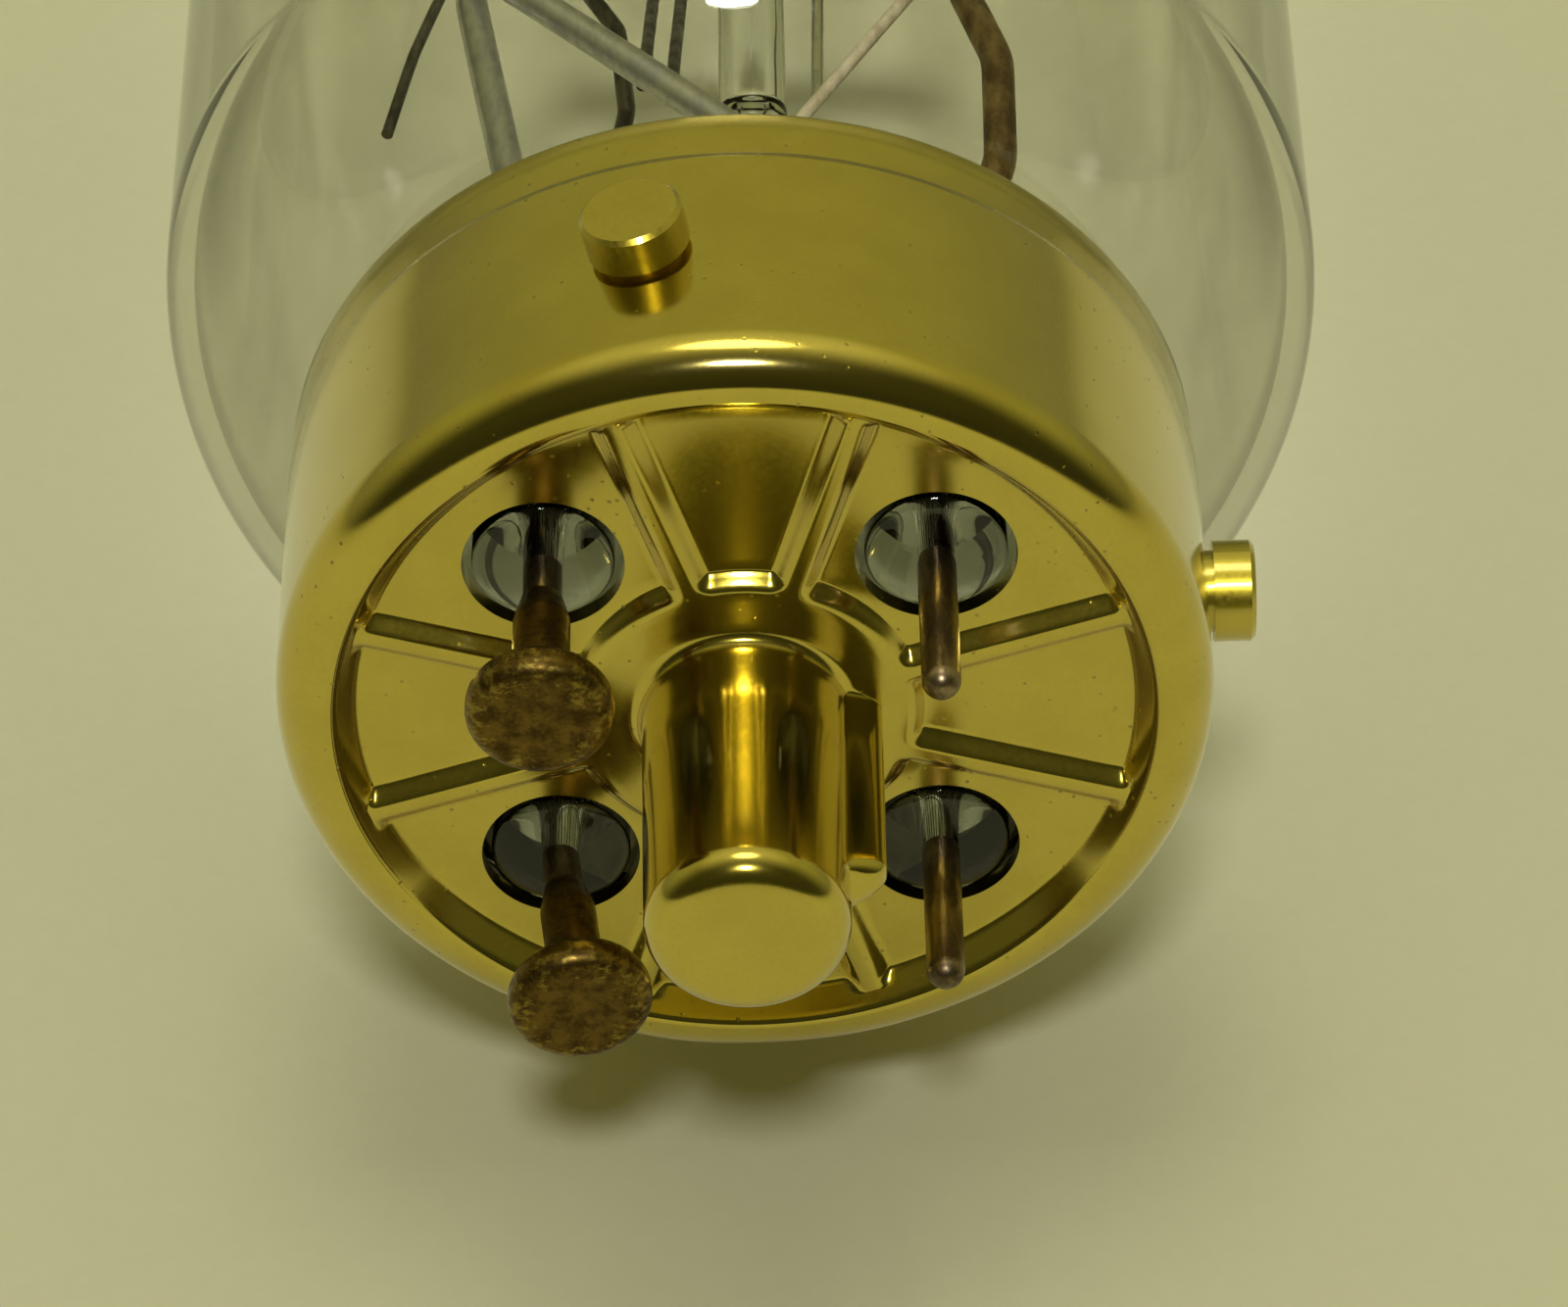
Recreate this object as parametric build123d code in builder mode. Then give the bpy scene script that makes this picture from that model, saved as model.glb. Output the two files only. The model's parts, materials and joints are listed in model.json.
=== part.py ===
"""Projector lamp with a clear tubular bulb and a four-pin drawn aluminium base.

The lamp's axis is the Y axis: +Y runs from the base towards the top of the bulb, and the lamp
lies on its side with +Z up. The origin is on the axis, in the plane of the three locating
studs on the skirt. Sizes are in millimetres; angles run from +X towards +Z.
"""

from build123d import *

import os
from math import cos, radians, sin

# Base shell: one drawn and pressed piece of sheet aluminium
SHEET = 0.6
SKIRT_R = 14.6
SKIRT_EDGE_Y = 6.5
EDGE_BAND_R = 14.52
EDGE_BAND_Y = 4.3
BEAD_CREST_Y = -5.9
BEAD_OUTER_ROUND = 1.6
BEAD_HOLLOW_ROUND = 0.6
BEAD_INNER_R = 12.8
PLATE_R = 12.13
PLATE_Y = -4.91
EMBOSS = 0.5
BOSS_TOP_R = 5.2
BOSS_FOOT_R = 5.75
RIB_SPREAD = 17.5
RIB_BASE_W = 1.25
RIB_TOP_W = 0.5
POST_ROOT_R = 3.22
POST_END_R = 3.14
POST_END_Y = -15.71
POST_CORNER = 0.95
KEY_R = 4.25
KEY_W = 1.7
KEY_END_Y = -13.3
KEY_BEVEL = 0.55

# Locating studs, clinched through the skirt
STUD_R = 1.6
STUD_STANDS = 1.5
STUD_FOOT_R = 1.3
STUD_FOOT_H = 0.2
STUD_SHANK_R = 1.1
STUD_HEAD_T = 0.6
STUD_ANGLES = {"top": 100.8, "side": 0.0, "lower": -100.8}

# Four pins on a 17 mm circle, at 45 degrees to the axes
PIN_CIRCLE = 17.0
PIN_AT = PIN_CIRCLE / 2 * cos(radians(45))
PIN_R = 0.6
SEAL_R = 0.55
SEAL_Y = -5.4
PIN_TIP_Y = -11.3
PIN_INNER_Y = 3.4
HOLE_R = 2.5
CAP_FACE_Y = -12.15
CAP_HEAD_R = 2.25
CAP_HEAD_T = 1.25
CAP_SLEEVE_R = 0.88
CAP_SLEEVE_TAPER = 1.0
CAP_SLEEVE_GAP = 1.3
LEAN_START_Y = -5.3
LEAN = 6.2

# Bulb and stem: soft glass
GLASS = 0.9
BULB_R = 19.05
BULB_SHOULDER_Y = 15.85
BULB_TOP_Y = 73.2
DOME_H = 12.0
DOME_CORNER_R = 9.0
NECK_R = 11.0
NECK_ROUND = 0.6
BOWL_RISE = 8.3
STEM_TOP_Y = -1.2
STEM_FOOT_Y = -3.9
GLASS_BOSS_R = 2.2
GLASS_BOSS_Y = -4.7
GLASS_BOSS_DOME = 0.45
COLLAR_R = 1.9
COLLAR_TIP_R = 0.95
COLLAR_TOP_Y = 1.4
EXHAUST_R = 2.2
EXHAUST_BORE_R = 1.5
EXHAUST_TIP_Y = -13.6
CEMENT_FOOT_Y = -3.2
CEMENT_TOP_Y = 4.7

# Filament and the frame that holds it
ROD_R = 0.55
THIN_ROD_R = 0.32
WIRE_R = 0.17
COIL_XS = (-3.6, -1.2, 1.2, 3.6)
COIL_R = 0.55
COIL_BORE_R = 0.33
COIL_FOOT_Y = 39.2
COIL_TOP_Y = 46.2
LINK_R = 0.12
BRIDGE_R = 1.2
BRIDGE_HALF = 7.05
LOWER_BRIDGE_Y = 35.7
UPPER_BRIDGE_Y = 50.4
ARBOR_R = 1.15
ARBOR_X = 0.45
ARBOR_FOOT_Y = 24.5
FRAME_X = BRIDGE_HALF + ROD_R
FRAME_TOP_Y = 52.0
ROD_BEND = 2.4
FACE_INNER_R = SKIRT_R - SHEET


def save(piece, name):
    """Names a finished sub-part and writes its STEP file."""
    piece.part.label = name
    export_step(piece.part, f"parts/{name}.step")


def pin_plane(x, z, y=0.0, lean=0.0):
    """A plane through a pin's own axis, whose local Y runs along the pin."""
    return Plane(
        origin=(x, y, z),
        x_dir=(cos(radians(lean)), sin(radians(lean)), 0),
        z_dir=(0, 0, 1),
    )


def pin_axis(plane):
    return Axis(plane.origin, plane.y_dir)


def radial_plane(angle, r=0.0):
    """A plane square to a radius of the lamp: local X is tangential, local Y points to -Y."""
    out = Vector(cos(radians(angle)), 0, sin(radians(angle)))
    return Plane(
        origin=out * r,
        x_dir=(-sin(radians(angle)), 0, cos(radians(angle))),
        z_dir=out,
    )


def make_base_shell():
    """Skirt, rolled rim bead, ribbed end plate and hollow centre post, all one pressing."""
    back = PLATE_Y + SHEET
    boss_y = PLATE_Y - EMBOSS
    bore_r = POST_END_R - SHEET
    outline = [
        ((0, POST_END_Y), 0),
        ((POST_END_R, POST_END_Y), POST_CORNER),
        ((POST_ROOT_R, boss_y), 0.3),
        ((BOSS_TOP_R, boss_y), 0.15),
        ((BOSS_FOOT_R, PLATE_Y), 0.2),
        ((PLATE_R, PLATE_Y), 0.2),
        ((BEAD_INNER_R, BEAD_CREST_Y), 0.35),
        ((SKIRT_R, BEAD_CREST_Y), BEAD_OUTER_ROUND),
        ((SKIRT_R, EDGE_BAND_Y - 0.12), 0),
        ((EDGE_BAND_R, EDGE_BAND_Y + 0.12), 0),
        ((EDGE_BAND_R, SKIRT_EDGE_Y), 0.15),
        ((FACE_INNER_R, SKIRT_EDGE_Y), 0),
        ((FACE_INNER_R, BEAD_CREST_Y + SHEET), BEAD_HOLLOW_ROUND),
        ((BEAD_INNER_R + 0.4, BEAD_CREST_Y + SHEET), 0.1),
        ((PLATE_R + 0.25, back), 0.3),
        ((BOSS_FOOT_R - 0.25, back), 0.2),
        ((BOSS_TOP_R - 0.25, boss_y + SHEET), 0.15),
        ((bore_r + 0.04, boss_y + SHEET), 0.3),
        ((bore_r, POST_END_Y + SHEET), 0.4),
        ((0, POST_END_Y + SHEET), 0),
    ]
    with BuildPart() as base_shell:
        with BuildSketch():
            with BuildLine():
                FilletPolyline(
                    [p for p, _ in outline], radius=[r for _, r in outline], close=True
                )
            make_face()
        revolve(axis=Axis.Y)
        # eight pressed ribs, in pairs either side of each cardinal direction
        for cardinal in (0, 90, 180, 270):
            for side in (-RIB_SPREAD, RIB_SPREAD):
                sunk = 0.2
                slope = (RIB_BASE_W - RIB_TOP_W) / 2 / EMBOSS
                foot = RIB_BASE_W / 2 + slope * sunk
                with BuildSketch(radial_plane(cardinal + side, BOSS_TOP_R - 0.2)):
                    Polygon(
                        (-foot, -PLATE_Y - sunk),
                        (foot, -PLATE_Y - sunk),
                        (RIB_TOP_W / 2, -boss_y),
                        (-RIB_TOP_W / 2, -boss_y),
                        align=None,
                    )
                extrude(amount=PLATE_R + 0.45 - BOSS_TOP_R + 0.2)
        # key rib along the post
        key_centre = KEY_R - KEY_W / 2
        with BuildSketch(Plane.XZ.offset(-PLATE_Y)):
            with Locations(((POST_END_R + key_centre) / 2, 0)):
                Rectangle(key_centre - POST_END_R + 0.6, KEY_W)
            with Locations((key_centre, 0)):
                Circle(KEY_W / 2)
        extrude(amount=PLATE_Y - KEY_END_Y)
        with BuildSketch():
            Polygon(
                (KEY_R - KEY_BEVEL, KEY_END_Y),
                (KEY_R, KEY_END_Y),
                (KEY_R, KEY_END_Y + KEY_BEVEL),
                align=None,
            )
        extrude(amount=KEY_W, both=True, mode=Mode.SUBTRACT)
        # pin holes through the plate, and stud holes through the skirt
        with BuildSketch(Plane.XZ.offset(-PLATE_Y + 1)):
            with GridLocations(2 * PIN_AT, 2 * PIN_AT, 2, 2):
                Circle(HOLE_R)
        extrude(amount=-2, mode=Mode.SUBTRACT)
        for angle in STUD_ANGLES.values():
            with BuildSketch(radial_plane(angle, FACE_INNER_R - 1)):
                Circle(STUD_SHANK_R)
            extrude(amount=3, mode=Mode.SUBTRACT)
    save(base_shell, "base_shell")


def make_locating_stud(place, angle):
    """A turned stud whose shank passes the skirt and is clinched over inside."""
    inside = FACE_INNER_R - STUD_HEAD_T
    outside = SKIRT_R + STUD_STANDS
    with BuildPart() as locating_stud:
        with BuildSketch(radial_plane(angle, inside)):
            Circle(STUD_FOOT_R)
        extrude(amount=outside - inside)
        with BuildSketch(radial_plane(angle, outside)):
            Circle(STUD_R)
        extrude(amount=STUD_FOOT_H - STUD_STANDS)
        out = radial_plane(angle).z_dir
        rim = locating_stud.edges().sort_by(Axis((0, 0, 0), out))[-1]
        chamfer(rim, 0.14)
        with BuildSketch():
            with Locations(((FACE_INNER_R + SKIRT_R) / 2, 0)):
                Rectangle(SHEET, 4 * STUD_R)
        revolve(axis=Axis.Y, mode=Mode.SUBTRACT)
        with BuildSketch(radial_plane(angle, inside + 0.2)):
            Circle(STUD_SHANK_R)
        extrude(amount=STUD_HEAD_T + SHEET + 0.4)
    save(locating_stud, f"locating_stud_{place}")


def make_basing_cement():
    """Ring of cement between the bulb's neck and the skirt, cast round the clinched heads."""
    with BuildPart() as basing_cement:
        with BuildSketch():
            with BuildLine():
                FilletPolyline(
                    (NECK_R, CEMENT_FOOT_Y),
                    (FACE_INNER_R, CEMENT_FOOT_Y),
                    (FACE_INNER_R, CEMENT_TOP_Y),
                    (NECK_R, CEMENT_TOP_Y + 0.8),
                    radius=[0, 0.5, 0, 0],
                    close=True,
                )
            make_face()
        revolve(axis=Axis.Y)
        for angle in STUD_ANGLES.values():
            with BuildSketch(radial_plane(angle, FACE_INNER_R - STUD_HEAD_T)):
                Circle(STUD_FOOT_R)
            extrude(amount=2, mode=Mode.SUBTRACT)
    save(basing_cement, "basing_cement")


def make_bulb_envelope():
    """Thin tubular bulb: domed top, round bowl, and a neck that goes down into the base."""
    bowl_r = NECK_R + NECK_ROUND
    dome_y = BULB_TOP_Y - DOME_H
    # the dome is a spherical cap that a rounded shoulder joins to the straight side
    corner_x = BULB_R - DOME_CORNER_R
    cap_r = (corner_x**2 + DOME_H**2 - DOME_CORNER_R**2) / (2 * (DOME_H - DOME_CORNER_R))
    outward = Vector(corner_x, dome_y - BULB_TOP_Y + cap_r).normalized()
    mid_cap = Vector(outward.X / 2, (1 - outward.X**2 / 4) ** 0.5)
    with BuildPart() as bulb_envelope:
        with BuildSketch():
            for inset, mode in ((0, Mode.ADD), (GLASS, Mode.SUBTRACT)):
                side_r = BULB_R - inset
                bowl_y = BULB_SHOULDER_Y - BOWL_RISE + inset
                neck_r = NECK_R - inset
                corner_r = DOME_CORNER_R - inset
                shoulder = Vector(corner_x, dome_y) + outward * corner_r
                mid_dome = Vector(0, BULB_TOP_Y - cap_r) + mid_cap * (cap_r - inset)
                with BuildLine():
                    Line((0, STEM_TOP_Y), (neck_r, STEM_TOP_Y))
                    Line((neck_r, STEM_TOP_Y), (neck_r, bowl_y - NECK_ROUND - inset))
                    RadiusArc(
                        (neck_r, bowl_y - NECK_ROUND - inset),
                        (bowl_r, bowl_y),
                        NECK_ROUND + inset,
                    )
                    EllipticalCenterArc(
                        (bowl_r, BULB_SHOULDER_Y),
                        side_r - bowl_r,
                        BOWL_RISE - inset,
                        start_angle=-90,
                        arc_size=90,
                    )
                    Line((side_r, BULB_SHOULDER_Y), (side_r, dome_y))
                    RadiusArc((side_r, dome_y), shoulder, -corner_r)
                    ThreePointArc(shoulder, mid_dome, (0, BULB_TOP_Y - inset))
                    Line((0, BULB_TOP_Y - inset), (0, STEM_TOP_Y))
                make_face(mode=mode)
        revolve(axis=Axis.Y)
    save(bulb_envelope, "bulb_envelope")


def make_stem_button():
    """Pressed glass button that closes the neck, with a domed boss and a collar at each pin."""
    with BuildPart() as stem_button:
        with BuildSketch(Plane.XZ.offset(-STEM_TOP_Y)):
            Circle(NECK_R)
        extrude(amount=STEM_TOP_Y - STEM_FOOT_Y)
        for x in (-PIN_AT, PIN_AT):
            for z in (-PIN_AT, PIN_AT):
                along_pin = pin_plane(x, z)
                dome_y = GLASS_BOSS_Y - GLASS_BOSS_DOME
                with BuildSketch(along_pin):
                    with BuildLine():
                        Line((0, STEM_TOP_Y - 1), (GLASS_BOSS_R, STEM_TOP_Y - 1))
                        Line((GLASS_BOSS_R, STEM_TOP_Y - 1), (GLASS_BOSS_R, GLASS_BOSS_Y))
                        EllipticalCenterArc(
                            (0, GLASS_BOSS_Y),
                            GLASS_BOSS_R,
                            GLASS_BOSS_DOME,
                            start_angle=-90,
                            arc_size=90,
                        )
                        Line((0, dome_y), (0, STEM_TOP_Y - 1))
                    make_face()
                revolve(axis=pin_axis(along_pin))
                with BuildSketch(along_pin):
                    with BuildLine():
                        FilletPolyline(
                            (0, STEM_TOP_Y - 0.5),
                            (COLLAR_R, STEM_TOP_Y - 0.5),
                            (COLLAR_TIP_R + 0.15, STEM_TOP_Y + 0.8),
                            (COLLAR_TIP_R, COLLAR_TOP_Y),
                            (0, COLLAR_TOP_Y),
                            radius=[0, 0, 0.8, 0.2, 0],
                            close=True,
                        )
                    make_face()
                revolve(axis=pin_axis(along_pin))
        with BuildSketch(Plane.XZ.offset(-COLLAR_TOP_Y - 1)):
            with Locations((-PIN_AT, -PIN_AT), (-PIN_AT, PIN_AT)):
                Circle(PIN_R)
            with Locations((PIN_AT, -PIN_AT), (PIN_AT, PIN_AT)):
                Circle(SEAL_R)
            Circle(EXHAUST_BORE_R)
        extrude(amount=COLLAR_TOP_Y - GLASS_BOSS_Y + 3, mode=Mode.SUBTRACT)
    save(stem_button, "stem_button")


def make_exhaust_tube():
    """Glass tube below the button, drawn off to a sealed tip inside the post."""
    taper_y = EXHAUST_TIP_Y + 3.2
    with BuildPart() as exhaust_tube:
        with BuildSketch():
            with BuildLine():
                FilletPolyline(
                    (EXHAUST_BORE_R, STEM_FOOT_Y),
                    (EXHAUST_R, STEM_FOOT_Y),
                    (EXHAUST_R, taper_y),
                    (0.55, EXHAUST_TIP_Y),
                    (0, EXHAUST_TIP_Y),
                    (0, EXHAUST_TIP_Y + 1.4),
                    (EXHAUST_BORE_R, taper_y),
                    radius=[0, 0, 2.0, 0.4, 0, 0, 1.5],
                    close=True,
                )
            make_face()
        revolve(axis=Axis.Y)
    save(exhaust_tube, "exhaust_tube")


def make_contact_lead(place, z, lean):
    """Stiff lead through the glass; the lower one is bent a little where it leaves the boss."""
    cap_depth = LEAN_START_Y - CAP_FACE_Y - CAP_HEAD_T
    end_x = -PIN_AT + cap_depth * sin(radians(lean))
    end_y = LEAN_START_Y - cap_depth * cos(radians(lean))
    with BuildPart() as contact_lead:
        with BuildLine():
            if lean:
                corners = (
                    (-PIN_AT, PIN_INNER_Y, z),
                    (-PIN_AT, LEAN_START_Y, z),
                    (end_x, end_y, z),
                )
                route = FilletPolyline(corners, radius=2)
            else:
                route = Line((-PIN_AT, PIN_INNER_Y, z), (end_x, end_y, z))
        with BuildSketch(Plane(origin=route @ 0, z_dir=route % 0)):
            Circle(PIN_R)
        sweep()
    save(contact_lead, f"contact_lead_{place}")


def make_contact_cap(place, z, lean):
    """Brass sleeve with a mushroom head, pushed on the end of a contact lead."""
    along_pin = pin_plane(-PIN_AT, z, LEAN_START_Y, lean)
    face = CAP_FACE_Y - LEAN_START_Y
    under = face + CAP_HEAD_T
    with BuildPart() as contact_cap:
        with BuildSketch(along_pin):
            with BuildLine():
                FilletPolyline(
                    (PIN_R, -CAP_SLEEVE_GAP),
                    (PIN_R + 0.05, -CAP_SLEEVE_GAP),
                    (CAP_SLEEVE_R, -CAP_SLEEVE_GAP - CAP_SLEEVE_TAPER),
                    (CAP_SLEEVE_R, under + 0.6),
                    (CAP_SLEEVE_R + 0.3, under),
                    (CAP_HEAD_R, under),
                    (CAP_HEAD_R, face),
                    (0, face),
                    (0, under),
                    (PIN_R, under),
                    radius=[0, 0, 0.8, 0.4, 0.15, 0.5, 0.55, 0, 0, 0],
                    close=True,
                )
            make_face()
        revolve(axis=pin_axis(along_pin))
    save(contact_cap, f"contact_cap_{place}")


def make_support_pin(place, z):
    """Plain pin, round at its outer tip and a little thinner where the glass seals to it."""
    along_pin = pin_plane(PIN_AT, z)
    with BuildPart() as support_pin:
        with BuildSketch(along_pin):
            with BuildLine():
                Polyline(
                    (0, PIN_INNER_Y),
                    (SEAL_R, PIN_INNER_Y),
                    (SEAL_R, SEAL_Y),
                    (PIN_R, SEAL_Y),
                    (PIN_R, PIN_TIP_Y + PIN_R),
                )
                RadiusArc((PIN_R, PIN_TIP_Y + PIN_R), (0, PIN_TIP_Y), PIN_R)
                Line((0, PIN_TIP_Y), (0, PIN_INNER_Y))
            make_face()
        revolve(axis=pin_axis(along_pin))
    save(support_pin, f"support_pin_{place}")


def make_rod(name, points, radius=ROD_R, bend=ROD_BEND):
    """A round rod or wire bent along the given corner points."""
    with BuildPart() as rod:
        with BuildLine():
            route = FilletPolyline(points, radius=bend) if len(points) > 2 else Line(points)
        with BuildSketch(Plane(origin=route @ 0, z_dir=route % 0)):
            Circle(radius)
        sweep()
    save(rod, name)


def make_frame_rods():
    """Heavy rods welded to the pins, which carry the filament's bridges."""
    make_rod(
        "lead_rod_upper",
        [
            (-PIN_AT, PIN_INNER_Y, PIN_AT),
            (-PIN_AT, 7.0, PIN_AT),
            (-8.9, 24.4, 6.0),
            (-9.2, 28.4, 5.6),
            (-FRAME_X, 35.0, 0),
            (-FRAME_X, FRAME_TOP_Y, 0),
        ],
    )
    make_rod(
        "lead_rod_lower",
        [
            (-PIN_AT, PIN_INNER_Y, -PIN_AT),
            (-PIN_AT, 10.0, -PIN_AT),
            (-4.0, 32.0, -5.0),
            (-4.5, 37.6, -5.0),
            (-6.2, 41.6, -5.0),
            (-4.0, 54.0, -4.6),
            (5.4, 54.0, -4.2),
            (5.4, 46.4, -2.3),
        ],
        radius=THIN_ROD_R,
    )
    make_rod(
        "support_rod_upper",
        [
            (PIN_AT, PIN_INNER_Y, PIN_AT),
            (PIN_AT, 7.0, PIN_AT),
            (8.54, 14.7, 6.0),
            (8.7, 20.4, 6.0),
            (7.7, 25.2, 5.6),
            (FRAME_X, 35.0, 0),
            (FRAME_X, FRAME_TOP_Y, 0),
        ],
        bend=5.0,
    )
    make_rod(
        "support_rod_lower",
        [
            (PIN_AT, PIN_INNER_Y, -PIN_AT),
            (PIN_AT, 9.0, -PIN_AT),
            (ARBOR_X, 21.5, 0),
            (ARBOR_X, ARBOR_FOOT_Y, 0),
        ],
        radius=THIN_ROD_R,
    )


def make_cross_brace():
    """Slightly bowed rod welded across the two upper rods."""
    with BuildPart() as cross_brace:
        with BuildLine():
            route = ThreePointArc((6.6, 7.2, 7.12), (-4.0, 19.85, 7.12), (-9.2, 25.8, 7.12))
        with BuildSketch(Plane(origin=route @ 0, z_dir=route % 0)):
            Circle(ROD_R)
        sweep()
    save(cross_brace, "cross_brace")


def make_getter():
    """Pale coated wire that stands on the brace and holds the getter strip."""
    make_rod("getter_wire", [(1.75, 13.9, 7.95), (5.95, 24.2, 6.1)], radius=0.22)
    with BuildPart() as getter_strip:
        with BuildSketch(Plane.XZ.offset(-24.2)):
            with Locations((6.1, 6.1)):
                Rectangle(1.6, 0.5)
        extrude(amount=-0.9)
        fillet(getter_strip.edges().filter_by(Axis.Z), 0.2)
    save(getter_strip, "getter_strip")


def make_glass_arbor():
    """Glass cane with a cross-bar that carries the lower filament hooks."""
    with BuildPart() as glass_arbor:
        along_cane = pin_plane(ARBOR_X, 0)
        with BuildSketch(along_cane):
            with BuildLine():
                FilletPolyline(
                    (0, ARBOR_FOOT_Y),
                    (ARBOR_R, ARBOR_FOOT_Y),
                    (ARBOR_R, LOWER_BRIDGE_Y),
                    (0, LOWER_BRIDGE_Y),
                    radius=[0, 0.6, 0, 0],
                    close=True,
                )
            make_face()
        revolve(axis=pin_axis(along_cane))
        with BuildSketch(Plane.YZ.offset(-BRIDGE_HALF)):
            with Locations((LOWER_BRIDGE_Y, 0)):
                Circle(BRIDGE_R)
        extrude(amount=2 * BRIDGE_HALF)
    save(glass_arbor, "glass_arbor")


def make_glass_bridge():
    """Glass rod across the top of the frame, which carries the upper filament hook."""
    with BuildPart() as glass_bridge:
        with BuildSketch(Plane.YZ.offset(-BRIDGE_HALF)):
            with Locations((UPPER_BRIDGE_Y, 0)):
                Circle(BRIDGE_R)
        extrude(amount=2 * BRIDGE_HALF)
    save(glass_bridge, "glass_bridge")


def make_filament_coils():
    """Four upright coils side by side, each as the tube that its turns fill."""
    with BuildPart() as filament_coils:
        with BuildSketch(Plane.XZ.offset(-COIL_TOP_Y)):
            with Locations(*[(x, 0) for x in COIL_XS]):
                Circle(COIL_R)
                Circle(COIL_BORE_R, mode=Mode.SUBTRACT)
        extrude(amount=COIL_TOP_Y - COIL_FOOT_Y)
    save(filament_coils, "filament_coils")


def make_filament_links():
    """Bare wire loops that join the coils in series, two below and one above."""
    wall = (COIL_R + COIL_BORE_R) / 2
    with BuildPart() as filament_links:
        for first, y, turn in ((0, COIL_FOOT_Y, -1), (1, COIL_TOP_Y, 1), (2, COIL_FOOT_Y, -1)):
            left = COIL_XS[first] + wall
            right = COIL_XS[first + 1] - wall
            half = (right - left) / 2
            with BuildLine():
                route = FilletPolyline(
                    (left, y, 0),
                    (left, y + turn * 1.1, 0),
                    (right, y + turn * 1.1, 0),
                    (right, y, 0),
                    radius=half * 0.95,
                )
            with BuildSketch(Plane(origin=route @ 0, z_dir=route % 0)):
                Circle(LINK_R)
            sweep()
    save(filament_links, "filament_links")


def make_filament_tails():
    """Bare wire ends that run from the outer coils to the rods."""
    wall = (COIL_R + COIL_BORE_R) / 2
    tail_y = COIL_TOP_Y + 1.3
    left = (
        (COIL_XS[0] - wall, COIL_TOP_Y, 0),
        (COIL_XS[0] - wall, tail_y, 0),
        (-FRAME_X + ROD_R, tail_y, 0),
    )
    right = (
        (COIL_XS[3] + wall, COIL_TOP_Y, 0),
        (COIL_XS[3] + wall, tail_y, 0),
        (5.4, tail_y, -2.0),
    )
    with BuildPart() as filament_tails:
        for points in (left, right):
            with BuildLine():
                route = FilletPolyline(points, radius=0.5)
            with BuildSketch(Plane(origin=route @ 0, z_dir=route % 0)):
                Circle(LINK_R)
            sweep()
    save(filament_tails, "filament_tails")


def make_filament_hooks(name, xs, bridge_y, loop_y, turn):
    """Hooks that stand on a bridge and hold the links' loops from inside."""
    reach = LINK_R + WIRE_R
    with BuildPart() as filament_hooks:
        for x in xs:
            with BuildLine():
                route = FilletPolyline(
                    (x, bridge_y + turn * (BRIDGE_R - 0.02), -0.5),
                    (x, loop_y + turn * reach, -0.5),
                    (x, loop_y + turn * reach, 0.5),
                    (x, loop_y - turn * 0.3, 0.5),
                    radius=0.28,
                )
            with BuildSketch(Plane(origin=route @ 0, z_dir=route % 0)):
                Circle(WIRE_R)
            sweep()
        with BuildSketch(Plane.YZ.offset(-BRIDGE_HALF)):
            with Locations((bridge_y, 0)):
                Circle(BRIDGE_R)
        extrude(amount=2 * BRIDGE_HALF, mode=Mode.SUBTRACT)
    save(filament_hooks, name)


def make_steady_wires():
    """Thin wires: three that steady the glass cross-bar, and a free spring wire."""
    foot = LOWER_BRIDGE_Y - BRIDGE_R
    make_rod("steady_wire_left", [(-3.0, 18.95, 6.25), (-2.9, foot, 0)], radius=0.22)
    make_rod("steady_wire_middle", [(-2.1, 18.0, 6.25), (-1.9, foot, 0)], radius=0.22)
    make_rod("steady_wire_right", [(2.65, 26.0, 0), (2.85, foot, 0)], radius=0.22)
    make_rod(
        "spring_wire",
        [(-9.35, 27.2, 6.5), (-10.7, 21.4, 6.2), (-11.4, 17.2, 6.0)],
        radius=0.2,
        bend=8,
    )


os.makedirs("parts", exist_ok=True)
make_base_shell()
for place, angle in STUD_ANGLES.items():
    make_locating_stud(place, angle)
make_basing_cement()
make_bulb_envelope()
make_stem_button()
make_exhaust_tube()
for place, z, lean in (("upper", PIN_AT, 0), ("lower", -PIN_AT, LEAN)):
    make_contact_lead(place, z, lean)
    make_contact_cap(place, z, lean)
    make_support_pin(place, z)
make_frame_rods()
make_cross_brace()
make_getter()
make_glass_arbor()
make_glass_bridge()
make_filament_coils()
make_filament_links()
make_filament_tails()
make_filament_hooks("filament_hooks_lower", (-2.4, 2.4), LOWER_BRIDGE_Y, COIL_FOOT_Y - 1.1, 1)
make_filament_hooks("filament_hook_upper", (0,), UPPER_BRIDGE_Y, COIL_TOP_Y + 1.1, -1)
make_steady_wires()
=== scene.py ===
import json
import math

import bmesh
import bpy
from mathutils import Matrix, Vector


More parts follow.
